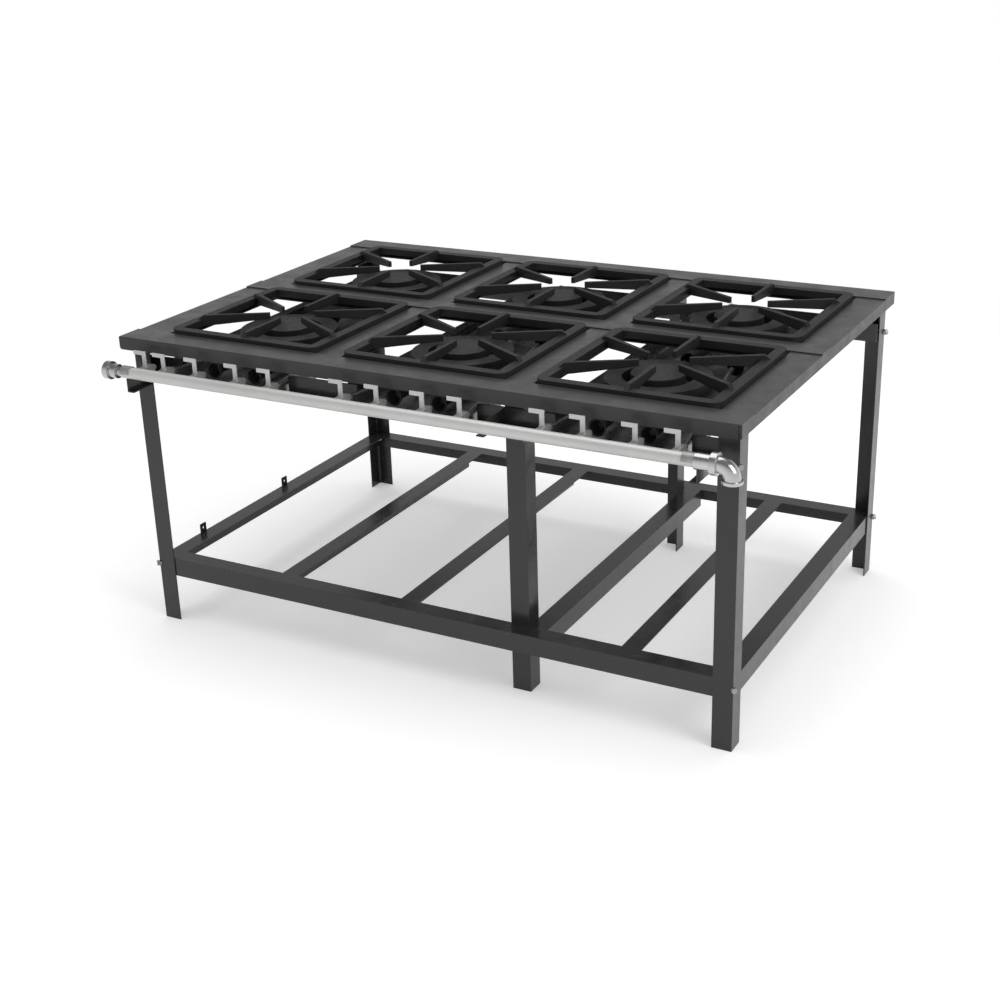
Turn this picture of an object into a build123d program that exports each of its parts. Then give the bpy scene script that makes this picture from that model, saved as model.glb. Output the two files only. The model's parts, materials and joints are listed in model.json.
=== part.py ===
from build123d import *
from itertools import pairwise
import math
import os

# Gas range with six double burners, on an open stand of steel angles.
# Lengths are in millimetres. X runs along the front from the left edge of the top,
# Y runs back from the front edge of the top and Z runs up from the floor.
# The finished pieces are moved so that the origin is at the bottom centre of the range.

# Table top
TOP_LENGTH = 1705
TOP_DEPTH = 1175
TOP_HEIGHT = 800
SHEET = 3
RIM_DEPTH = 34
RIM_CORNER = 7
RIM_RELIEF = 8
SEAT_DEPTH = 23
LEDGE = 15
LEFT_MARGIN = 100
RIGHT_MARGIN = 79
FRONT_MARGIN = 78
REAR_MARGIN = 87
DIVIDER = 73
MIDDLE_MARGIN = 70
COLUMNS = 3
ROWS = 2

# Trivets
TRIVET_GAP = 1.5
TRIVET_CORNER = 30
TRIVET_BAR = 27
TRIVET_BAR_DEPTH = 19
TRIVET_RISE = 10
FINGER_RISE = 10
FINGER_COUNT = 6
FINGER_REACH = 60
FINGER_TIP_WIDTH = 9
FINGER_ROOT_WIDTH = 12
FINGER_TIP_DEPTH = 16
FOOT_WIDTH = 11
FOOT_LENGTH = 45

# Burners
BURNER_SHIFT = -15
RING_INNER = 87
RING_OUTER = 130
RING_LIFT = 3
RING_DEPTH = 30
CAP_RADIUS = 66
CAP_RISE = 9
LUG_COUNT = 3
LUG_WIDTH = 12
LUG_DEPTH = 6
LUG_REACH = 54
EAR_WIDTH = 90
EAR_DEPTH = 8
NECK_RADIUS = 13
NECK_SIDE = 30
BELL_RADIUS = 22
BELL_BORE = 18
BELL_LENGTH = 26
BELL_DEPTH = 22
BELL_THROAT = 8
THROAT_SIDES = 16
BELL_SETBACK = 268
TUBE_DROP = 17

# Stand of rolled angles
ANGLE = 50
ANGLE_SHEET = 3
ANGLE_ROOT = 4
LEG_INSET_LEFT = 45
LEG_INSET_REAR = 70
MIDDLE_LEG_INSET = 10.5
MIDDLE_LEG_SETBACK = 63
SHELF_TOP = 183
SHELF_BAR_STEPS = (-736.5, -367.5, 0, 246.5)
TAB_HEIGHT = 25
TAB_WIDTH = 24
TAB_HOLE = 4
TAB_PLACES = (190, 580)

# Corner bolts
BOLT_NECK = 8
BOLT_HOLE = 9
BOLT_FLATS = 13
BOLT_HEAD = 8
NUT_PLATE = 20
NUT_PLATE_HEIGHT = 16
NUT = 7
LOWER_BOLT_DROP = 20
UPPER_BOLT_LIFT = 12

# Cross rails, runners and drip pans under the top
CROSS_RAIL_DROP = 108
CORNER_CLEARANCE = 34
RUNNER_LEAF = 30
RUNNER_GAP = 6
PAN_SHEET = 1.5
PAN_HEIGHT = 29
PAN_HEM = 8
PAN_LIP = 8
PAN_FRONT = 12
PAN_INSET_REAR = 20
PAN_CLEARANCE = 5.5
PAN_INSET_LEFT = 3
PAN_INSET_RIGHT = 6.5

# Gas manifold
PIPE_RADIUS = 15
PIPE_SETBACK = 64
PIPE_LIFT = 2
PIPE_START = 62
SLEEVE_INSET = 77
SLEEVE_LENGTH = 37
SLEEVE_RADIUS = 19
ELBOW_RADIUS = 19
ELBOW_BEND = 31
BEAD_RADIUS = 26
BEAD_WIDTH = 15
MOUTH_RADIUS = 23
MOUTH_WIDTH = 7
MOUTH_BORE = 17
MOUTH_DEPTH = 16
PLUG_LENGTH = 38
PLUG_RADIUS = 18.5
PLUG_HEAD = 16
PLUG_HEAD_RADIUS = 23.5
NIPPLE_LENGTH = 16
NIPPLE_RADIUS = 12.5

# Taps and levers
TAP_SETBACK = 30
TAP_SPREAD = 7
TAP_LEFT = 73
TAP_RIGHT = 59.5
INNER_TAPS = (-41, 85)
EXTRA_TAP = -61
TAP_WIDTH = 18
GLAND_FLATS = 15
GLAND_HEIGHT = 3
TAP_LENGTH = 46
JET_FLATS = 13
JET_LENGTH = 8
LEVER_HEIGHT = 38
LEVER_ARM_HEIGHT = 10
LEVER_REACH = 32.5
LEVER_STEM = 12
LEVER_PLATE = 3

# Feed tubes to the rear burners
FEED_RADIUS = 4
FEED_SIDES = 8
FEED_NUT = 6
JET_GAP = 25
REAR_JET_LENGTH = 20

# Manifold brackets and clamps
BRACKET_DROP = 13
BRACKET_FLANGE = 20
BRACKET_OVERHANG = 6
BRACKET_INSET = 28
BRACKET_GAP = 17
BRACKET_TAB_LEFT = 14
BRACKET_TAB_RIGHT = 28
BRACKET_TAB_RISE = 1
MIDDLE_BRACKET_DROP = 30
MIDDLE_BRACKET_RISE = 8
STRUT_LENGTH = 108
STRUT_WIDTH = 29
STRUT_DEPTH = 8
STRUT_START = -8
CLAMP_SHEET = 2.5
CLAMP_WIDTH = 28

# Places that follow from the sizes above, along the front
WELL_LENGTH = (TOP_LENGTH - LEFT_MARGIN - RIGHT_MARGIN - (COLUMNS - 1) * DIVIDER) / COLUMNS
WELL_PITCH = WELL_LENGTH + DIVIDER
LEG_RIGHT = TOP_LENGTH - SHEET
MIDDLE_LEG_RIGHT = LEFT_MARGIN + (COLUMNS - 1) * WELL_PITCH - MIDDLE_LEG_INSET
FRAME_LEFT = LEG_INSET_LEFT + ANGLE_SHEET
FRAME_RIGHT = LEG_RIGHT - ANGLE_SHEET
PLUG_START = PIPE_START - NIPPLE_LENGTH - PLUG_LENGTH
SLEEVE_START = TOP_LENGTH - SLEEVE_INSET
ELBOW_START = SLEEVE_START + SLEEVE_LENGTH
ELBOW_X = ELBOW_START + BEAD_WIDTH + ELBOW_BEND

# From front to rear
WELL_DEPTH = (TOP_DEPTH - FRONT_MARGIN - REAR_MARGIN - (ROWS - 1) * MIDDLE_MARGIN) / ROWS
ROW_PITCH = WELL_DEPTH + MIDDLE_MARGIN
LEG_FRONT = SHEET
LEG_REAR = TOP_DEPTH - LEG_INSET_REAR
MIDDLE_LEG_REAR = LEG_REAR - MIDDLE_LEG_SETBACK
FRAME_FRONT = LEG_FRONT + ANGLE_SHEET
FRAME_REAR = LEG_REAR - ANGLE_SHEET
RAIL_BACK = FRAME_FRONT + ANGLE
PAN_REAR = TOP_DEPTH - PAN_INSET_REAR
PIPE_Y = -PIPE_SETBACK
TAP_Y = -TAP_SETBACK
TAP_FACE = PIPE_Y + PIPE_RADIUS

# Heights, from the top down to the pipe and up to the levers
STRIP_TOP = TOP_HEIGHT - SHEET
LEG_TOP = STRIP_TOP - SHEET
LEDGE_TOP = TOP_HEIGHT - SEAT_DEPTH + SHEET
TRIVET_TOP = TOP_HEIGHT + TRIVET_RISE
FINGER_TOP = TRIVET_TOP + FINGER_RISE
CROSS_RAIL_BOTTOM = TOP_HEIGHT - CROSS_RAIL_DROP
RAIL_TOP = CROSS_RAIL_BOTTOM + ANGLE
PAN_BOTTOM = CROSS_RAIL_BOTTOM + ANGLE_SHEET
PAN_TOP = PAN_BOTTOM + PAN_HEIGHT
RING_BOTTOM = RAIL_TOP + RING_LIFT
RING_TOP = RING_BOTTOM + RING_DEPTH
CAP_TOP = RING_TOP + CAP_RISE
TUBE_HEIGHT = RING_BOTTOM - TUBE_DROP
PIPE_HEIGHT = TUBE_HEIGHT + PIPE_LIFT
MOUTH_Z = PIPE_HEIGHT - ELBOW_BEND - MOUTH_WIDTH
TAP_TOP = PIPE_HEIGHT + TAP_WIDTH / 2 + GLAND_HEIGHT
LEVER_TOP = TAP_TOP + LEVER_HEIGHT
BRACKET_BOTTOM = CROSS_RAIL_BOTTOM - BRACKET_DROP
BRACKET_TAB_TOP = PIPE_HEIGHT - PIPE_RADIUS + BRACKET_TAB_RISE
LOWER_BOLT = SHELF_TOP - LOWER_BOLT_DROP
UPPER_BOLT = CROSS_RAIL_BOTTOM + UPPER_BOLT_LIFT

PIECES = {}


def block(x, y, z):
    """Box between the two ends given along each axis."""
    centre = [(low + high) / 2 for low, high in (x, y, z)]
    size = [high - low for low, high in (x, y, z)]
    return Pos(*centre) * Box(*size)


def rod(start, direction, radius, length):
    """Round bar that starts at a point and runs along a direction."""
    return extrude(Plane(origin=start, z_dir=direction) * Circle(radius), length)


def flat_bar(start, direction, flats, length, sides=6, taper=0):
    """Bar of equal flat sides, with the given distance across them; a taper narrows it as it runs."""
    section = RegularPolygon(flats / 2, sides, major_radius=False)
    return extrude(Plane(origin=start, z_dir=direction) * section, length, taper=taper)


def angle_bar(start, end, one_leaf, other_leaf, leaf=ANGLE):
    """Rolled angle whose outer corner runs from start to end, with leaves along two directions."""
    run = Vector(*end) - Vector(*start)
    first, second = Vector(*one_leaf), Vector(*other_leaf)
    if first.cross(second).dot(run) < 0:
        first, second = second, first
    thick = ANGLE_SHEET
    outline = [(0, 0), (leaf, 0), (leaf, thick), (thick, thick), (thick, leaf), (0, leaf)]
    section = make_face(Polyline(*outline, close=True))
    root = section.vertices().sort_by_distance((thick, thick))[0]
    section = chamfer(root, ANGLE_ROOT)
    return extrude(Plane(origin=start, x_dir=first, z_dir=run) * section, run.length)


def folded_section(path, sheet=SHEET, rounded=()):
    """Section of a folded sheet to the left of its path; the listed outer corners are rounded."""
    near = [Vector(*point) for point in path]
    sides = [(end - start).normalized().rotate(Axis.Z, 90) for start, end in pairwise(near)]
    far = []
    for index, point in enumerate(near):
        before, after = sides[max(index - 1, 0)], sides[min(index, len(sides) - 1)]
        opposite = point + (before + after) * (sheet / (1 + before.dot(after)))
        far.append(opposite)
    section = make_face(Polyline(*near, *reversed(far), close=True))
    for corner in rounded:
        section = fillet(section.vertices().sort_by_distance(corner)[0], sheet)
    return section


def along_x(section, start, end):
    """Extrude a section drawn in Y and Z from one X to another."""
    return extrude(Plane(origin=(start, 0, 0), x_dir=(0, 1, 0), z_dir=(1, 0, 0)) * section, end - start)


def along_y(section, start, end):
    """Extrude a section drawn in X and Z from one Y to another."""
    return extrude(Plane(origin=(0, end, 0), x_dir=(1, 0, 0), z_dir=(0, -1, 0)) * section, end - start)


def well_x(column):
    return LEFT_MARGIN + column * WELL_PITCH


def well_y(row):
    return FRONT_MARGIN + row * ROW_PITCH


def burner_x(column):
    return well_x(column) + WELL_LENGTH / 2 + BURNER_SHIFT


def burner_y(row):
    return well_y(row) + WELL_DEPTH / 2


def column_taps(column):
    """Places of the four taps of a column; the taps spread a little wider than the burners do."""
    left, right = well_x(column) + TAP_LEFT, well_x(column) + WELL_LENGTH - TAP_RIGHT
    inner = [burner_x(column) + step for step in INNER_TAPS]
    return [place + (column - (COLUMNS - 1) / 2) * TAP_SPREAD for place in (left, *inner, right)]


def all_tap_places():
    places = [place for column in range(COLUMNS) for place in column_taps(column)]
    return [places[0] + EXTRA_TAP] + places


def pan_sides(column):
    """Left and right faces of a drip pan, just inside the outer taps of its column."""
    first, *_, last = column_taps(column)
    return first - PAN_INSET_LEFT, last - PAN_INSET_RIGHT


def table_rail(low, high, rim, seats):
    """Long folded rail of the top; rim is the edge folded down, seats are the edges with ledges."""
    flat, folds = [(low, TOP_HEIGHT), (high, TOP_HEIGHT)], []
    if rim == "front":
        flat.insert(0, (low, TOP_HEIGHT - RIM_DEPTH))
        folds.append((low, TOP_HEIGHT))
    if rim == "rear":
        flat.append((high, TOP_HEIGHT - RIM_DEPTH))
        folds.append((high, TOP_HEIGHT))
    flat.reverse()
    rail = along_x(folded_section(flat, rounded=folds), 0, TOP_LENGTH)
    for column in range(COLUMNS):
        for seat in seats:
            edge, inward = (high, 1) if seat == "rear" else (low, -1)
            fold = edge - inward * 2 * SHEET
            path = [(fold, TOP_HEIGHT), (edge, TOP_HEIGHT)]
            path += [(edge, LEDGE_TOP), (edge + inward * LEDGE, LEDGE_TOP)]
            if inward > 0:
                path.reverse()
            rail += along_x(folded_section(path), well_x(column), well_x(column) + WELL_LENGTH)
    return rail


def rail_front():
    rail = table_rail(0, FRONT_MARGIN, "front", ["rear"])
    relief = block((TOP_LENGTH - RIM_RELIEF, TOP_LENGTH), (-1, SHEET), (0, STRIP_TOP))
    corner = Plane.XZ * Pos(0, TOP_HEIGHT - RIM_DEPTH) * Rectangle(RIM_CORNER * 2, RIM_CORNER * 2)
    rounded = Plane.XZ * Pos(RIM_CORNER, TOP_HEIGHT - RIM_DEPTH + RIM_CORNER) * Circle(RIM_CORNER)
    return rail - relief - extrude(corner - rounded, SHEET * 2, both=True)


def rail_middle():
    return table_rail(FRONT_MARGIN + WELL_DEPTH, FRONT_MARGIN + ROW_PITCH, None, ["front", "rear"])


def rail_rear():
    return table_rail(FRONT_MARGIN + ROW_PITCH + WELL_DEPTH, TOP_DEPTH, "rear", ["front"])


def table_strip(low, high, rim, seats):
    """Cross strip under the rails; rim is the side folded down, seats are the sides with ledges."""
    flat = [(low, STRIP_TOP), (high, STRIP_TOP)]
    if rim == "left":
        flat.insert(0, (low, TOP_HEIGHT - RIM_DEPTH))
    if rim == "right":
        flat.append((high, TOP_HEIGHT - RIM_DEPTH))
    flat.reverse()
    strip = along_y(folded_section(flat), SHEET, TOP_DEPTH - SHEET)
    for row in range(ROWS):
        for seat in seats:
            edge, inward = (high, 1) if seat == "right" else (low, -1)
            fold = edge - inward * 2 * SHEET
            path = [(fold, STRIP_TOP), (edge, STRIP_TOP)]
            path += [(edge, LEDGE_TOP), (edge + inward * LEDGE, LEDGE_TOP)]
            if inward > 0:
                path.reverse()
            start, end = well_y(row) + LEDGE, well_y(row) + WELL_DEPTH - LEDGE
            strip += along_y(folded_section(path), start, end)
    return strip


def strip_left():
    return table_strip(0, LEFT_MARGIN, "left", ["right"])


def strip_right():
    return table_strip(well_x(COLUMNS - 1) + WELL_LENGTH, TOP_LENGTH, "right", ["left"])


def strip_inner(column):
    """Strip between two columns of openings."""
    low = well_x(column) + WELL_LENGTH
    return table_strip(low, low + DIVIDER, None, ["left", "right"])


def trivet(column, row):
    """Cast frame with raised fingers that point to the middle of the opening."""
    length, depth = WELL_LENGTH - 2 * TRIVET_GAP, WELL_DEPTH - 2 * TRIVET_GAP
    inner_length, inner_depth = length - 2 * TRIVET_BAR, depth - 2 * TRIVET_BAR
    bottom = TRIVET_TOP - TRIVET_BAR_DEPTH
    outline = RectangleRounded(length, depth, TRIVET_CORNER)
    outline -= Rectangle(inner_length, inner_depth)
    frame = Pos(0, 0, bottom) * extrude(outline, TRIVET_BAR_DEPTH)
    for index in range(FINGER_COUNT):
        frame += trivet_finger(90 + index * 360 / FINGER_COUNT, length, depth, bottom)
    for side in (-1, 1):
        for end in (-1, 1):
            x = side * (length - FOOT_WIDTH) / 2
            y = end * (depth / 2 - TRIVET_CORNER - FOOT_LENGTH / 2)
            height = bottom - LEDGE_TOP
            foot = Pos(x, y, LEDGE_TOP + height / 2) * Box(FOOT_WIDTH, FOOT_LENGTH, height)
            frame += foot
    return Pos(well_x(column) + WELL_LENGTH / 2, well_y(row) + WELL_DEPTH / 2, 0) * frame


def trivet_finger(angle, length, depth, bottom):
    """One finger, deeper and wider at its root, cut from a side view and a plan view."""
    turn = math.radians(angle)
    to_side = length / 2 / abs(math.cos(turn)) if abs(math.cos(turn)) > 0.01 else math.inf
    to_end = depth / 2 / abs(math.sin(turn))
    root = min(to_side, to_end) - TRIVET_BAR / 2
    side_view = [
        (FINGER_REACH, FINGER_TOP),
        (root - TRIVET_BAR / 2, FINGER_TOP),
        (root, TRIVET_TOP),
        (root, bottom),
        (root - TRIVET_BAR / 2, bottom),
        (FINGER_REACH, FINGER_TOP - FINGER_TIP_DEPTH),
    ]
    blade = extrude(Plane.XZ * make_face(Polyline(*side_view, close=True)), FINGER_ROOT_WIDTH, both=True)
    plan = [
        (FINGER_REACH, -FINGER_TIP_WIDTH / 2),
        (root, -FINGER_ROOT_WIDTH / 2),
        (root, FINGER_ROOT_WIDTH / 2),
        (FINGER_REACH, FINGER_TIP_WIDTH / 2),
    ]
    taper = Pos(0, 0, bottom) * extrude(make_face(Polyline(*plan, close=True)), FINGER_TOP - bottom)
    return Rot(0, 0, angle) * (blade & taper)


def feed_throat(x, y, neck_top, inner_wall):
    """Casting under a burner: a square neck down to a level tube that ends in an open bell.

    There are many throats, so their round sections have sixteen flat sides.
    """
    mouth = y + inner_wall - BELL_SETBACK
    half = NECK_SIDE / 2
    neck = block((x - half, x + half), (y - half, y + half), (TUBE_HEIGHT - half, neck_top))
    start = (x, mouth, TUBE_HEIGHT)
    narrowing = math.degrees(math.atan((BELL_RADIUS - NECK_RADIUS) / BELL_LENGTH))
    bore_narrowing = math.degrees(math.atan((BELL_BORE - BELL_THROAT) / BELL_DEPTH))
    throat = flat_bar(start, (0, 1, 0), 2 * NECK_RADIUS, y - half - mouth, THROAT_SIDES)
    throat += flat_bar(start, (0, 1, 0), 2 * BELL_RADIUS, BELL_LENGTH, THROAT_SIDES, narrowing)
    bore = flat_bar(start, (0, 1, 0), 2 * BELL_BORE, BELL_DEPTH, THROAT_SIDES, bore_narrowing)
    return neck + (throat - bore)


def burner_ring(column, row):
    """Outer casting: a ring with an ear on each side, inner lugs and its own gas tube."""
    x, y = burner_x(column), burner_y(row)
    base = (Align.CENTER, Align.CENTER, Align.MIN)
    ring = Pos(0, 0, RING_BOTTOM) * Cylinder(RING_OUTER, RING_TOP - RING_BOTTOM, align=base)
    for side in (-1, 1):
        reach = sorted((side * RING_INNER, runner_seat(column, side) - x))
        ring += block(reach, (-EAR_WIDTH / 2, EAR_WIDTH / 2), (RAIL_TOP, RAIL_TOP + EAR_DEPTH))
    ring -= Cylinder(RING_INNER, RING_TOP, align=base)
    lug_end = (RING_INNER + RING_OUTER) / 2
    for index in range(LUG_COUNT):
        wide = (-LUG_WIDTH / 2, LUG_WIDTH / 2)
        lug = block((LUG_REACH, lug_end), wide, (RING_BOTTOM, RING_BOTTOM + LUG_DEPTH))
        ring += Rot(0, 0, 90 + index * 360 / LUG_COUNT) * lug
    offset = column_taps(column)[2] - x
    drop = -math.sqrt(max(lug_end**2 - offset**2, 0))
    return Pos(x, y, 0) * ring + feed_throat(x + offset, y + drop, RING_BOTTOM, -drop)


def burner_centre(column, row):
    """Inner casting: a round cap that rests on the ring's lugs, with its own gas tube."""
    x, y = burner_x(column), burner_y(row)
    seat = RING_BOTTOM + LUG_DEPTH
    cap = Pos(x, y, (seat + CAP_TOP) / 2) * Cylinder(CAP_RADIUS, CAP_TOP - seat)
    return cap + feed_throat(column_taps(column)[1], y, seat, 0)


def runner_seat(column, side):
    """Middle of the flange of the runner on one side of a pan."""
    left, right = pan_sides(column)
    return (left if side < 0 else right) + side * (RUNNER_GAP + RUNNER_LEAF / 2)


def runner(column, side):
    edge = runner_seat(column, side) - side * RUNNER_LEAF / 2
    start, end = (edge, RAIL_BACK, RAIL_TOP), (edge, MIDDLE_LEG_REAR, RAIL_TOP)
    return angle_bar(start, end, (side, 0, 0), (0, 0, -1), RUNNER_LEAF)


def drip_pan(column):
    """Folded tray with hemmed sides, a low front lip and a full rear wall."""
    left, right = pan_sides(column)
    path = [(left + PAN_HEM, PAN_TOP), (left, PAN_TOP), (left, PAN_BOTTOM)]
    path += [(right, PAN_BOTTOM), (right, PAN_TOP), (right - PAN_HEM, PAN_TOP)]
    pan = along_y(folded_section(path, PAN_SHEET), PAN_FRONT, PAN_REAR)
    walls = ((PAN_FRONT, PAN_BOTTOM + PAN_LIP), (PAN_REAR - PAN_SHEET, PAN_TOP - PAN_SHEET))
    for start, top in walls:
        pan += block((left, right), (start, start + PAN_SHEET), (PAN_BOTTOM, top))
    return pan


def cross_rail(edge_y, depthwise):
    """Upper cross rail whose upright leaf is cut away where the pans pass."""
    start, end = (FRAME_LEFT, edge_y, CROSS_RAIL_BOTTOM), (FRAME_RIGHT, edge_y, CROSS_RAIL_BOTTOM)
    rail = angle_bar(start, end, (0, depthwise, 0), (0, 0, 1))
    upright = sorted((edge_y, edge_y + depthwise * (ANGLE_SHEET + ANGLE_ROOT)))
    for column in range(COLUMNS):
        left, right = pan_sides(column)
        rail -= block((left - PAN_CLEARANCE, right + PAN_CLEARANCE), upright, (PAN_BOTTOM, RAIL_TOP))
    outer = sorted((edge_y + depthwise * ANGLE, edge_y + depthwise * (ANGLE - CORNER_CLEARANCE)))
    for side, inward in ((FRAME_LEFT, 1), (FRAME_RIGHT, -1)):
        ends = sorted((side, side + inward * CORNER_CLEARANCE))
        rail -= block(ends, outer, (CROSS_RAIL_BOTTOM, PAN_BOTTOM))
    return rail


def corner_signs():
    """Outer corners of the stand, each with the directions that point into the stand."""
    for x, inward_x in ((LEG_INSET_LEFT, 1), (LEG_RIGHT, -1)):
        for y, inward_y in ((LEG_FRONT, 1), (LEG_REAR, -1)):
            yield x, y, inward_x, inward_y


def bolt_holes():
    """Square holes for the bolts that pass through the corners of the outer legs."""
    holes = []
    for x, y, inward_x, inward_y in corner_signs():
        inward = Vector(inward_x, inward_y, 0).normalized()
        for height in (LOWER_BOLT, UPPER_BOLT):
            side = Plane(origin=Vector(x, y, height) - inward * ANGLE_ROOT, x_dir=(0, 0, 1), z_dir=inward)
            holes.append(extrude(side * Rectangle(BOLT_HOLE, BOLT_HOLE), 6 * ANGLE_ROOT))
    return holes


def outer_leg(x, y, inward_x, inward_y):
    leg = angle_bar((x, y, 0), (x, y, LEG_TOP), (inward_x, 0, 0), (0, inward_y, 0))
    return leg - bolt_holes()


def middle_leg(y, inward_y):
    corner = MIDDLE_LEG_RIGHT
    return angle_bar((corner, y, 0), (corner, y, LEG_TOP), (-1, 0, 0), (0, inward_y, 0))


def mitre(x, y, inward_x, inward_y, keep_x):
    """Prism that trims a shelf rail at 45 degrees in one corner, and clears the root of the leg."""
    reach = 2 * ANGLE
    diagonal = (x + inward_x * reach, y + inward_y * reach)
    side = (x, y + inward_y * reach) if keep_x else (x + inward_x * reach, y)
    base = Pos(0, 0, SHELF_TOP - reach)
    wedge = make_face(Polyline((x, y), diagonal, side, close=True))
    root = [(x, y), (x + inward_x * ANGLE_ROOT, y), (x, y + inward_y * ANGLE_ROOT)]
    corner = make_face(Polyline(*root, close=True))
    return base * extrude(wedge, 2 * reach) + base * extrude(corner, 2 * reach)


def shelf_rail(start, end, inward, keep_x):
    """Outer rail of the shelf frame, mitred at both ends."""
    rail = angle_bar((*start, SHELF_TOP), (*end, SHELF_TOP), inward, (0, 0, -1))
    corners = [
        (FRAME_LEFT, FRAME_FRONT, 1, 1),
        (FRAME_LEFT, FRAME_REAR, 1, -1),
        (FRAME_RIGHT, FRAME_FRONT, -1, 1),
        (FRAME_RIGHT, FRAME_REAR, -1, -1),
    ]
    for corner in corners:
        rail -= mitre(*corner, keep_x)
    return rail - bolt_holes()


def shelf_bar(left, turned):
    """Cross member of the shelf; its upright leaf is on the left, or on the right where it is turned."""
    corner, flat_leaf = (left + ANGLE, (-1, 0, 0)) if turned else (left, (1, 0, 0))
    start = (corner, FRAME_FRONT + ANGLE, SHELF_TOP)
    end = (corner, FRAME_REAR - ANGLE, SHELF_TOP)
    return angle_bar(start, end, flat_leaf, (0, 0, -1))


def shelf_tab(y):
    """Upright tab with a hole, on the left rail of the shelf."""
    plate = Rectangle(TAB_WIDTH, TAB_HEIGHT) - Circle(TAB_HOLE)
    middle = (FRAME_LEFT, y, SHELF_TOP + TAB_HEIGHT / 2)
    return extrude(Plane(origin=middle, x_dir=(0, 1, 0), z_dir=(1, 0, 0)) * plate, ANGLE_SHEET)


def corner_bolt(x, y, inward_x, inward_y, height, wall):
    """Bolt with its head on a leg's corner, and its nut on a plate that bridges the corner inside."""
    inward = Vector(inward_x, inward_y, 0).normalized()
    corner = Vector(x, y, height)
    seat = NUT_PLATE / 2 + wall * math.sqrt(2)
    bolt = flat_bar(corner, -inward, BOLT_FLATS, BOLT_HEAD)
    neck = Plane(origin=corner, x_dir=(0, 0, 1), z_dir=inward)
    bolt += extrude(neck * Rectangle(BOLT_NECK, BOLT_NECK), seat)
    frame = Plane(origin=corner + inward * seat, x_dir=(0, 0, 1), z_dir=inward)
    bolt += extrude(frame * Rectangle(NUT_PLATE_HEIGHT, NUT_PLATE), ANGLE_SHEET)
    return bolt + flat_bar(corner + inward * (seat + ANGLE_SHEET), inward, BOLT_FLATS, NUT)


def all_bolts():
    bolts = []
    for corner in corner_signs():
        bolts.append(corner_bolt(*corner, LOWER_BOLT, 2 * ANGLE_SHEET))
        bolts.append(corner_bolt(*corner, UPPER_BOLT, ANGLE_SHEET))
    return bolts


def manifold_pipe():
    """Straight gas pipe along the front."""
    return rod((PIPE_START, PIPE_Y, PIPE_HEIGHT), (1, 0, 0), PIPE_RADIUS, SLEEVE_START - PIPE_START)


def pipe_sleeve():
    """Coupling over the end of the pipe."""
    start = (SLEEVE_START, PIPE_Y, PIPE_HEIGHT)
    return rod(start, (1, 0, 0), SLEEVE_RADIUS, ELBOW_START - SLEEVE_START)


def elbow():
    """Beaded elbow that turns the gas inlet down, with an open mouth."""
    start = (ELBOW_START, PIPE_Y, PIPE_HEIGHT)
    mouth = (ELBOW_X, PIPE_Y, MOUTH_Z)
    bend_start, bend_end = ELBOW_START + BEAD_WIDTH, PIPE_HEIGHT - ELBOW_BEND
    section = Plane(origin=(bend_start, PIPE_Y, PIPE_HEIGHT), z_dir=(1, 0, 0)) * Circle(ELBOW_RADIUS)
    body = revolve(section, Axis((bend_start, PIPE_Y, bend_end), (0, 1, 0)), 90)
    body += rod(start, (1, 0, 0), BEAD_RADIUS, BEAD_WIDTH)
    body += rod(mouth, (0, 0, 1), MOUTH_RADIUS, MOUTH_WIDTH)
    return body - rod(mouth, (0, 0, 1), MOUTH_BORE, MOUTH_DEPTH)


def end_plug():
    """Plug with a wide head, on a short nipple that closes the left end of the pipe."""
    start = (PLUG_START, PIPE_Y, PIPE_HEIGHT)
    plug = rod(start, (1, 0, 0), PLUG_HEAD_RADIUS, PLUG_HEAD)
    plug += rod(start, (1, 0, 0), PLUG_RADIUS, PLUG_LENGTH)
    return plug + rod(start, (1, 0, 0), NIPPLE_RADIUS, PIPE_START - PLUG_START)


def tap(x):
    """Tap body between the pipe and its jet, with a hexagonal gland under the lever."""
    half = TAP_WIDTH / 2
    back, top = TAP_FACE + TAP_LENGTH, PIPE_HEIGHT + half
    body = block((x - half, x + half), (TAP_FACE, back), (PIPE_HEIGHT - half, top))
    body += flat_bar((x, TAP_Y, top), (0, 0, 1), GLAND_FLATS, TAP_TOP - top)
    return body + flat_bar((x, back, PIPE_HEIGHT), (0, 1, 0), JET_FLATS, JET_LENGTH)


def lever(x):
    """Flat plate lever: an upright stem with an arm that points left when shut."""
    side_view = [
        (-LEVER_STEM / 2, TAP_TOP),
        (LEVER_STEM / 2, TAP_TOP),
        (LEVER_STEM / 2, LEVER_TOP),
        (-LEVER_REACH, LEVER_TOP),
        (-LEVER_REACH, LEVER_TOP - LEVER_ARM_HEIGHT),
        (-LEVER_STEM / 2, LEVER_TOP - LEVER_ARM_HEIGHT),
    ]
    outline = make_face(Polyline(*side_view, close=True))
    return Pos(x, TAP_Y, 0) * extrude(Plane.XZ * outline, LEVER_PLATE / 2, both=True)


def feed_tube(column, side):
    """Thin tube of eight flat sides, from an outer tap to the jet at a bell of the rear burner."""
    places = column_taps(column)
    start_x, jet_x = places[:2] if side < 0 else places[:1:-1]
    start_y = TAP_FACE + TAP_LENGTH + JET_LENGTH
    jet_y = burner_y(ROWS - 1) - BELL_SETBACK - JET_GAP
    start = Vector(start_x, start_y + FEED_NUT / 2, PIPE_HEIGHT)
    end = Vector(jet_x, jet_y - REAR_JET_LENGTH / 2, PIPE_HEIGHT)
    tube = flat_bar(start, end - start, 2 * FEED_RADIUS, (end - start).length, FEED_SIDES)
    tube += flat_bar((start_x, start_y, PIPE_HEIGHT), (0, 1, 0), JET_FLATS, FEED_NUT)
    rear_start = (jet_x, jet_y - REAR_JET_LENGTH, PIPE_HEIGHT)
    return tube + flat_bar(rear_start, (0, 1, 0), JET_FLATS, REAR_JET_LENGTH)


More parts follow.
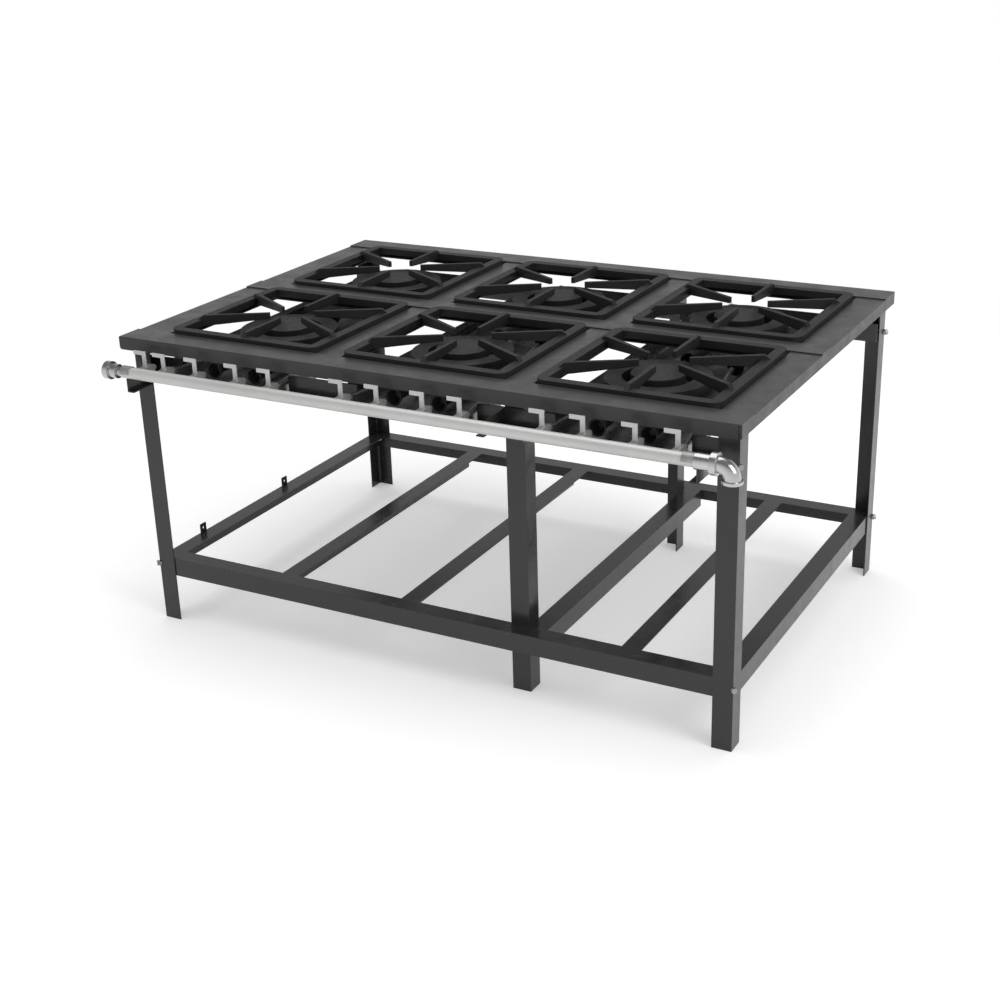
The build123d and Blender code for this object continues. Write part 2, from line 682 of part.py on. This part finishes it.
def side_bracket(x, inward, rest_z, leg_face, tab_length):
    """Arm from a front leg to the pipe: an upright plate with a foot flange and a tab on the leg."""
    front = PIPE_Y - BRACKET_OVERHANG
    step = PIPE_Y + PIPE_RADIUS
    foot_end = min(leg_face, FRAME_FRONT)
    plate_x = sorted((x, x + inward * ANGLE_SHEET))
    arm = block(plate_x, (front, foot_end), (BRACKET_BOTTOM, PAN_BOTTOM))
    arm += block(plate_x, (front, leg_face), (PAN_BOTTOM, rest_z))
    arm += block(plate_x, (step, leg_face), (rest_z, BRACKET_TAB_TOP))
    flange = sorted((x, x + inward * BRACKET_FLANGE))
    arm += block(flange, (front, foot_end), (BRACKET_BOTTOM, BRACKET_BOTTOM + ANGLE_SHEET))
    tab_x = sorted((x + inward * ANGLE_SHEET, x - inward * tab_length))
    tab = block(tab_x, (leg_face - ANGLE_SHEET, leg_face), (PAN_BOTTOM, BRACKET_TAB_TOP))
    return arm + tab


def middle_bracket():
    """Short angle between the back of the pipe and the front cross rail."""
    right = MIDDLE_LEG_RIGHT - ANGLE
    back = RAIL_BACK - ANGLE_SHEET
    front = PIPE_Y + PIPE_RADIUS
    low, high = PIPE_HEIGHT - MIDDLE_BRACKET_DROP, PIPE_HEIGHT + MIDDLE_BRACKET_RISE
    upright = block((right - ANGLE_SHEET, right), (front, back), (low, high))
    return upright + block((right - BRACKET_FLANGE, right), (front, back), (low, low + ANGLE_SHEET))


def strut():
    """Flat bar under the cross rail, along the right face of the middle leg."""
    x = (MIDDLE_LEG_RIGHT, MIDDLE_LEG_RIGHT + STRUT_WIDTH)
    y = (STRUT_START, STRUT_START + STRUT_LENGTH)
    return block(x, y, (CROSS_RAIL_BOTTOM - STRUT_DEPTH, CROSS_RAIL_BOTTOM))


def brackets():
    """The four arms that tie the pipe to the stand, from left to right."""
    left_x = LEG_INSET_LEFT + BRACKET_INSET
    left = side_bracket(left_x, 1, PIPE_HEIGHT - PIPE_RADIUS, LEG_FRONT, BRACKET_TAB_LEFT)
    right_x = LEG_RIGHT - ANGLE - BRACKET_GAP
    right_face = FRAME_FRONT + ANGLE_SHEET
    right = side_bracket(right_x, -1, PIPE_HEIGHT - SLEEVE_RADIUS, right_face, BRACKET_TAB_RIGHT)
    return {
        "manifold_bracket_left": left,
        "manifold_bracket_middle": middle_bracket(),
        "manifold_strut": strut(),
        "manifold_bracket_right": right,
    }


def clamp(start):
    """Saddle over the top of the pipe."""
    across = Plane(origin=(start, PIPE_Y, PIPE_HEIGHT), x_dir=(0, 1, 0), z_dir=(1, 0, 0))
    outer = PIPE_RADIUS + CLAMP_SHEET
    upper = Pos(0, outer) * Rectangle(4 * outer, 2 * outer)
    return extrude(across * ((Circle(outer) - Circle(PIPE_RADIUS)) & upper), CLAMP_WIDTH)


def add(name, shapes):
    """Keep one piece, or a group of separate pieces, under its name."""
    shapes = shapes if isinstance(shapes, list) else [shapes]
    PIECES[name] = shapes


def build_stand():
    names = ("leg_front_left", "leg_rear_left", "leg_front_right", "leg_rear_right")
    for name, corner in zip(names, corner_signs()):
        add(name, outer_leg(*corner))
    add("leg_front_middle", middle_leg(RAIL_BACK, 1))
    add("leg_rear_middle", middle_leg(MIDDLE_LEG_REAR, -1))
    left, right, front, rear = FRAME_LEFT, FRAME_RIGHT, FRAME_FRONT, FRAME_REAR
    add("shelf_rail_front", shelf_rail((left, front), (right, front), (0, 1, 0), True))
    add("shelf_rail_rear", shelf_rail((left, rear), (right, rear), (0, -1, 0), True))
    add("shelf_rail_left", shelf_rail((left, front), (left, rear), (1, 0, 0), False))
    add("shelf_rail_right", shelf_rail((right, front), (right, rear), (-1, 0, 0), False))
    for number, step in enumerate(SHELF_BAR_STEPS, 1):
        beside_leg = step == 0
        add(f"shelf_bar_{number}", shelf_bar(MIDDLE_LEG_RIGHT + step, beside_leg))
    add("shelf_tabs", [shelf_tab(y) for y in TAB_PLACES])
    add("leg_bolts", all_bolts())
    add("cross_rail_front", cross_rail(RAIL_BACK, -1))
    add("cross_rail_rear", cross_rail(MIDDLE_LEG_REAR, 1))
    add("pan_runners", [runner(column, side) for column in range(COLUMNS) for side in (-1, 1)])


def build_top():
    add("top_rail_front", rail_front())
    add("top_rail_middle", rail_middle())
    add("top_rail_rear", rail_rear())
    add("top_strip_left", strip_left())
    add("top_strip_inner_left", strip_inner(0))
    add("top_strip_inner_right", strip_inner(1))
    add("top_strip_right", strip_right())


def build_burners():
    columns, rows = ("left", "middle", "right"), ("front", "rear")
    rings, centres = [], []
    for column, column_name in enumerate(columns):
        for row, row_name in enumerate(rows):
            add(f"trivet_{row_name}_{column_name}", trivet(column, row))
            centres.append(burner_centre(column, row))
            if (row_name, column_name) == ("front", "middle"):
                add("burner_ring_front_middle", burner_ring(column, row))
            else:
                rings.append(burner_ring(column, row))
        add(f"drip_pan_{column_name}", drip_pan(column))
    add("burner_rings", rings)
    add("burner_centres", centres)
    add("feed_tubes", [feed_tube(column, side) for column in range(COLUMNS) for side in (-1, 1)])


def build_manifold():
    add("manifold_pipe", manifold_pipe())
    add("pipe_fittings", [end_plug(), pipe_sleeve(), elbow()])
    add("taps", [tap(x) for x in all_tap_places()])
    for index, x in enumerate(all_tap_places()):
        add(f"lever_{index + 1}", lever(x))
    for name, bracket in brackets().items():
        add(name, bracket)
    add("pipe_clamps", [clamp(PIPE_START), clamp(SLEEVE_START - CLAMP_WIDTH)])


def export_pieces():
    """Write each node to its own file, about the bottom centre of the whole range."""
    right = ELBOW_X + MOUTH_RADIUS
    front = PIPE_Y - BEAD_RADIUS
    shift = Pos(-(PLUG_START + right) / 2, -(front + TOP_DEPTH) / 2, 0)
    os.makedirs("parts", exist_ok=True)
    for name, shapes in PIECES.items():
        solids = [solid for shape in shapes for solid in shape.solids()]
        moved = [shift * solid for solid in solids]
        export_step(moved[0] if len(moved) == 1 else Compound(children=moved), f"parts/{name}.step")


build_stand()
build_top()
build_burners()
build_manifold()
export_pieces()
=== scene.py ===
import json
import math

import bpy
from mathutils import Matrix, Vector

# Looks of the gas range, in metres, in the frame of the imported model.

# Camera
CAMERA_PLACE = (1.91714, -3.54317, 1.93561)
CAMERA_YAW = -29.132
CAMERA_PITCH = 22.257
CAMERA_ROLL = -1.852
FOCAL_PIXELS = 1586.06
IMAGE_PIXELS = 1000
SENSOR_WIDTH = 36

# Floor and surroundings
FLOOR_HALF = 60
FLOOR_COLOR = 0.86
FLOOR_FADE = (1.5, 3.6)
FLOOR_LIFT = 0.34
WORLD_LIGHT = 0.62
MIRRORED_WALL = 0.85
MIRRORED_CEILING = 0.22
CEILING_SLOPE = (0.1, 0.7)

# Lamps
KEY_LAMP = {"place": (4.2, -1.2, 3.2), "target": (0, 0, 0.5), "size": 2.6, "power": 80}
OVERHEAD_LAMP = {"place": (-0.6, 0.4, 4.4), "target": (0, 0, 0.4), "size": 3.2, "power": 55}

# Sockets of the node that mixes colours
MIX_FACTOR = 0
MIX_FIRST = 6
MIX_SECOND = 7
MIX_RESULT = 2

# Noise levels between which a pattern goes from none to full
PATCH_LEVELS = (0.3, 0.7)
GRAIN_LEVELS = (0.35, 0.75)
RUB_LEVELS = (0.35, 0.65)
GLOSS_LEVELS = (0.25, 0.75)

# Detail and roughness of the noise for each pattern
PATCH_NOISE = (5.0, 0.6)
GRAIN_NOISE = (2.0, 0.6)
SMEAR_NOISE = (4.0, 0.65)
SMEARS_PER_PATCH = 6.0

# Gloss, relief and edges of the surfaces
GLOSSIER = 0.06
DULLER = 0.08
RELIEF_DEPTH = 0.0006
BEVEL_SAMPLES = 4
EDGE_TURN = (0.995, 0.85)

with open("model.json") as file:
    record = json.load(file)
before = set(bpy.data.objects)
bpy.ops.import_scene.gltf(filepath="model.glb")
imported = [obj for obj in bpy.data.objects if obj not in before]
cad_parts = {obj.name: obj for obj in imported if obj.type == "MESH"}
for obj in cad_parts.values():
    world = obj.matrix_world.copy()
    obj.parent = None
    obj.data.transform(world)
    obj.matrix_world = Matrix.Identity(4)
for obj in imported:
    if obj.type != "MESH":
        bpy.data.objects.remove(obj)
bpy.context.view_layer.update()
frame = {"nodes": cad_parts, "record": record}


class Tree:
    """Short calls for building a node tree."""

    def __init__(self, owner):
        owner.use_nodes = True
        owner.node_tree.nodes.clear()
        self.tree = owner.node_tree

    def node(self, kind, settings=None, **values):
        """New node; an underscore in a value's name stands for a space in the socket's name."""
        node = self.tree.nodes.new(kind)
        for key, value in (settings or {}).items():
            setattr(node, key, value)
        for key, value in values.items():
            self.feed(node.inputs[key.replace("_", " ")], value)
        return node

    def feed(self, socket, value):
        """Link a socket to another one, or set it to a constant."""
        if isinstance(value, bpy.types.NodeSocket):
            self.tree.links.new(value, socket)
        else:
            socket.default_value = value

    def math(self, operation, first, second):
        node = self.node("ShaderNodeMath", {"operation": operation})
        self.feed(node.inputs[0], first)
        self.feed(node.inputs[1], second)
        return node.outputs[0]

    def noise(self, place, scale, detail, roughness):
        node = self.node("ShaderNodeTexNoise", Vector=place, Scale=scale, Detail=detail, Roughness=roughness)
        return node.outputs["Fac"]

    def ramp(self, value, start, end, low=0.0, high=1.0):
        """Smooth change from low to high as the value goes from start to end."""
        limits = {"From Min": start, "From Max": end, "To Min": low, "To Max": high}
        node = self.node("ShaderNodeMapRange", {"interpolation_type": "SMOOTHSTEP"}, Value=value)
        for name, number in limits.items():
            self.feed(node.inputs[name], number)
        return node.outputs["Result"]

    def mix(self, factor, first, second, blend="MIX"):
        node = self.node("ShaderNodeMix", {"data_type": "RGBA", "blend_type": blend})
        self.feed(node.inputs[MIX_FACTOR], factor)
        self.feed(node.inputs[MIX_FIRST], first)
        self.feed(node.inputs[MIX_SECOND], second)
        return node.outputs[MIX_RESULT]

    def finish(self, shader, kind="ShaderNodeOutputMaterial"):
        output = self.tree.nodes.new(kind)
        self.tree.links.new(shader, output.inputs["Surface"])


def grey(level, tint=(1.0, 1.0, 1.0)):
    return (level * tint[0], level * tint[1], level * tint[2], 1.0)


def edge_mask(build, rounded):
    """1 where the rounded normal turns away from the flat one, which is near an edge."""
    flat = build.node("ShaderNodeNewGeometry").outputs["Normal"]
    turn = build.node("ShaderNodeVectorMath", {"operation": "DOT_PRODUCT"})
    build.feed(turn.inputs[0], rounded)
    build.feed(turn.inputs[1], flat)
    return build.ramp(turn.outputs["Value"], *EDGE_TURN)


def surface(name, color, worn, rough, metallic=0.0, specular=0.5, mottle=0.12, patch=5.0, grain=260.0,
            bump=0.08, edge=0.0012, wear=0.5, stretch=(1.0, 1.0, 1.0)):
    """Material with uneven colour, fine grain, uneven gloss and edges rubbed to a lighter tone.

    The tone varies by mottle, in patches and grain of the given noise scales. Edges are rounded
    by the edge radius in the shading, and wear is how far they are rubbed to the worn tone.
    """
    material = bpy.data.materials.new(name)
    build = Tree(material)
    place = build.node("ShaderNodeTexCoord").outputs["Object"]
    scaled = build.node("ShaderNodeMapping", Vector=place, Scale=stretch).outputs["Vector"]
    patches = build.noise(scaled, patch, *PATCH_NOISE)
    fine = build.noise(scaled, grain, *GRAIN_NOISE)
    smears = build.noise(scaled, patch * SMEARS_PER_PATCH, *SMEAR_NOISE)
    shade = build.mix(build.ramp(patches, *PATCH_LEVELS), grey(1.0 - mottle), grey(1.0 + mottle))
    tone = build.mix(1.0, color, shade, blend="MULTIPLY")
    body = build.mix(build.ramp(fine, *GRAIN_LEVELS, 0.0, mottle), tone, worn)
    rounded = build.node("ShaderNodeBevel", {"samples": BEVEL_SAMPLES}, Radius=edge).outputs["Normal"]
    rub = build.ramp(smears, *RUB_LEVELS, 0.0, wear)
    painted = build.mix(build.math("MULTIPLY", edge_mask(build, rounded), rub), body, worn)
    gloss = build.ramp(smears, *GLOSS_LEVELS, rough - GLOSSIER, rough + DULLER)
    relief = build.node("ShaderNodeBump", Strength=bump, Distance=RELIEF_DEPTH, Height=fine, Normal=rounded)
    shader = build.node("ShaderNodeBsdfPrincipled", Base_Color=painted, Metallic=metallic, Roughness=gloss,
                        Specular_IOR_Level=specular, Normal=relief.outputs["Normal"])
    build.finish(shader.outputs["BSDF"])
    return material


def top_paint():
    """Even dark paint on the folded sheet of the top."""
    return surface("top_paint", grey(0.042, (1, 1.01, 1.03)), grey(0.09), 0.36, specular=0.32,
                   mottle=0.06, patch=3.0, grain=420.0, bump=0.04, wear=0.4)


def stand_paint():
    """Darker, glossier paint on the angles of the stand."""
    return surface("stand_paint", grey(0.026, (1, 1, 1.02)), grey(0.075), 0.22, specular=0.42,
                   mottle=0.08, patch=4.0, grain=380.0, bump=0.04, wear=0.4)


def trivet_iron():
    """Rough cast iron of the trivets."""
    return surface("trivet_iron", grey(0.012), grey(0.045), 0.52, specular=0.27, mottle=0.2,
                   patch=14.0, grain=500.0, bump=0.22, edge=0.002, wear=0.5)


def burner_iron():
    """Rough cast iron of the burners."""
    return surface("burner_iron", grey(0.012), grey(0.045), 0.5, specular=0.27, mottle=0.2,
                   patch=16.0, grain=480.0, bump=0.22, edge=0.002, wear=0.5)


def pan_sheet():
    """Bare sheet metal of the drip pans."""
    return surface("pan_sheet", grey(0.22), grey(0.6), 0.3, metallic=0.75, mottle=0.12,
                   patch=7.0, grain=300.0, bump=0.05, wear=0.3)


def pipe_zinc():
    """Dull zinc on the pipe, with patches drawn out along it."""
    return surface("pipe_zinc", grey(0.62, (1, 1, 0.98)), grey(0.7), 0.4, metallic=0.35, mottle=0.07,
                   patch=9.0, grain=350.0, bump=0.06, wear=0.2, stretch=(0.4, 1, 1))


def fitting_zinc():
    """Bright zinc on the plug, the coupling and the elbow."""
    return surface("fitting_zinc", grey(0.5), grey(0.68), 0.18, metallic=0.95, mottle=0.06,
                   patch=20.0, grain=420.0, bump=0.06, edge=0.0015, wear=0.3)


def tap_metal():
    """Dull metal of the tap bodies."""
    return surface("tap_metal", grey(0.36), grey(0.48), 0.4, metallic=0.4, mottle=0.1,
                   patch=25.0, grain=500.0, bump=0.1, wear=0.5)


def lever_metal():
    """Pale, even metal of the levers."""
    return surface("lever_metal", grey(0.62), grey(0.7), 0.36, metallic=0.3, mottle=0.03,
                   patch=8.0, grain=700.0, bump=0.02, edge=0.0006, wear=0.3)


def tube_metal():
    """Metal of the thin tubes to the rear burners."""
    return surface("tube_metal", grey(0.3), grey(0.45), 0.35, metallic=0.8, mottle=0.1,
                   patch=20.0, grain=400.0, bump=0.05, wear=0.3)


def clamp_steel():
    """Warm grey steel of the saddles on the pipe."""
    return surface("clamp_steel", grey(0.36, (1.0, 0.97, 0.92)), grey(0.5), 0.4, metallic=0.6, mottle=0.15,
                   patch=25.0, grain=400.0, bump=0.06, wear=0.3)


def bolt_zinc():
    """Bluish zinc on the corner bolts."""
    return surface("bolt_zinc", grey(0.3, (0.95, 1, 1.05)), grey(0.5), 0.3, metallic=0.7, mottle=0.1,
                   patch=40.0, grain=500.0, bump=0.05, edge=0.0008, wear=0.4)


def make_materials():
    """One finish for each material slot of the record."""
    return {
        "top_sheet": top_paint(),
        "stand_paint": stand_paint(),
        "trivet_iron": trivet_iron(),
        "burner_iron": burner_iron(),
        "pan_steel": pan_sheet(),
        "pipe_steel": pipe_zinc(),
        "fitting_zinc": fitting_zinc(),
        "tap_metal": tap_metal(),
        "lever_metal": lever_metal(),
        "tube_metal": tube_metal(),
        "clamp_steel": clamp_steel(),
        "zinc_steel": bolt_zinc(),
    }


def dress_nodes(materials):
    """Give each CAD node the finish of its slot in the record."""
    for part in frame["record"]["subparts"]:
        node = frame["nodes"][part["node"]]
        node.data.materials.clear()
        node.data.materials.append(materials[part["material_slot"]])


def make_camera():
    """Camera at the place and angle of the photograph."""
    yaw, pitch, roll = (math.radians(angle) for angle in (CAMERA_YAW, CAMERA_PITCH, CAMERA_ROLL))
    ahead = Vector((math.sin(yaw) * math.cos(pitch), math.cos(yaw) * math.cos(pitch), -math.sin(pitch)))
    level = ahead.cross(Vector((0, 0, 1))).normalized()
    upward = level.cross(ahead)
    right = math.cos(roll) * level + math.sin(roll) * upward
    top = math.cos(roll) * upward - math.sin(roll) * level
    turn = Matrix((right, top, -ahead)).transposed().to_4x4()
    data = bpy.data.cameras.new("camera")
    data.sensor_width = SENSOR_WIDTH
    data.lens = FOCAL_PIXELS / IMAGE_PIXELS * SENSOR_WIDTH
    camera = bpy.data.objects.new("camera", data)
    camera.matrix_world = Matrix.Translation(CAMERA_PLACE) @ turn
    bpy.context.scene.collection.objects.link(camera)
    bpy.context.scene.camera = camera


def straight_rays(build, rays):
    """1 for rays that show the surroundings straight or through something clear."""
    return build.math("MAXIMUM", rays.outputs["Is Camera Ray"], rays.outputs["Is Transmission Ray"])


def floor_material():
    """Pale paint that keeps the shadow near the range and turns plain white further out."""
    material = bpy.data.materials.new("floor")
    build = Tree(material)
    place = build.node("ShaderNodeNewGeometry").outputs["Position"]
    distance = build.node("ShaderNodeVectorMath", {"operation": "LENGTH"})
    build.feed(distance.inputs[0], place)
    far = build.ramp(distance.outputs["Value"], *FLOOR_FADE)
    rays = build.node("ShaderNodeLightPath")
    seen = build.math("MAXIMUM", straight_rays(build, rays), rays.outputs["Is Glossy Ray"])
    paint = build.node("ShaderNodeBsdfDiffuse", Color=grey(FLOOR_COLOR))
    strength = build.math("MULTIPLY", seen, FLOOR_LIFT)
    lift = build.node("ShaderNodeEmission", Color=grey(1.0), Strength=strength)
    near = build.node("ShaderNodeAddShader")
    build.feed(near.inputs[0], paint.outputs[0])
    build.feed(near.inputs[1], lift.outputs[0])
    white = build.node("ShaderNodeEmission", Color=grey(1.0), Strength=1.0)
    blend = build.node("ShaderNodeMixShader")
    build.feed(blend.inputs[0], build.math("MULTIPLY", far, seen))
    build.feed(blend.inputs[1], near.outputs[0])
    build.feed(blend.inputs[2], white.outputs[0])
    build.finish(blend.outputs[0])
    return material


def make_floor():
    """Wide level floor under the feet."""
    mesh = bpy.data.meshes.new("floor")
    corners = [(-FLOOR_HALF, -FLOOR_HALF, 0), (FLOOR_HALF, -FLOOR_HALF, 0),
               (FLOOR_HALF, FLOOR_HALF, 0), (-FLOOR_HALF, FLOOR_HALF, 0)]
    mesh.from_pydata(corners, [], [(0, 1, 2, 3)])
    mesh.materials.append(floor_material())
    floor = bpy.data.objects.new("floor", mesh)
    bpy.context.scene.collection.objects.link(floor)


def make_world():
    """The camera sees white surroundings, and glossy surfaces mirror pale walls and a dimmer ceiling."""
    world = bpy.data.worlds.new("studio")
    bpy.context.scene.world = world
    build = Tree(world)
    rays = build.node("ShaderNodeLightPath")
    direction = build.node("ShaderNodeTexCoord").outputs["Generated"]
    height = build.node("ShaderNodeSeparateXYZ")
    build.feed(height.inputs[0], direction)
    mirrored = build.ramp(height.outputs["Z"], *CEILING_SLOPE, MIRRORED_WALL, MIRRORED_CEILING)
    glossy = build.mix(rays.outputs["Is Glossy Ray"], grey(WORLD_LIGHT), mirrored)
    color = build.mix(straight_rays(build, rays), glossy, grey(1.0))
    background = build.node("ShaderNodeBackground", Color=color, Strength=1.0)
    build.finish(background.outputs[0], "ShaderNodeOutputWorld")


def make_lamp(name, place, target, size, power):
    """Square soft lamp that points at a target."""
    data = bpy.data.lights.new(name, "AREA")
    data.shape = "SQUARE"
    data.size = size
    data.energy = power
    lamp = bpy.data.objects.new(name, data)
    lamp.location = place
    lamp.rotation_euler = (Vector(target) - Vector(place)).to_track_quat("-Z", "Y").to_euler()
    bpy.context.scene.collection.objects.link(lamp)


def make_studio():
    make_world()
    make_floor()
    make_lamp("key", **KEY_LAMP)
    make_lamp("overhead", **OVERHEAD_LAMP)
    bpy.context.scene.view_settings.view_transform = "Standard"


dress_nodes(make_materials())
make_studio()
make_camera()
bpy.context.view_layer.update()
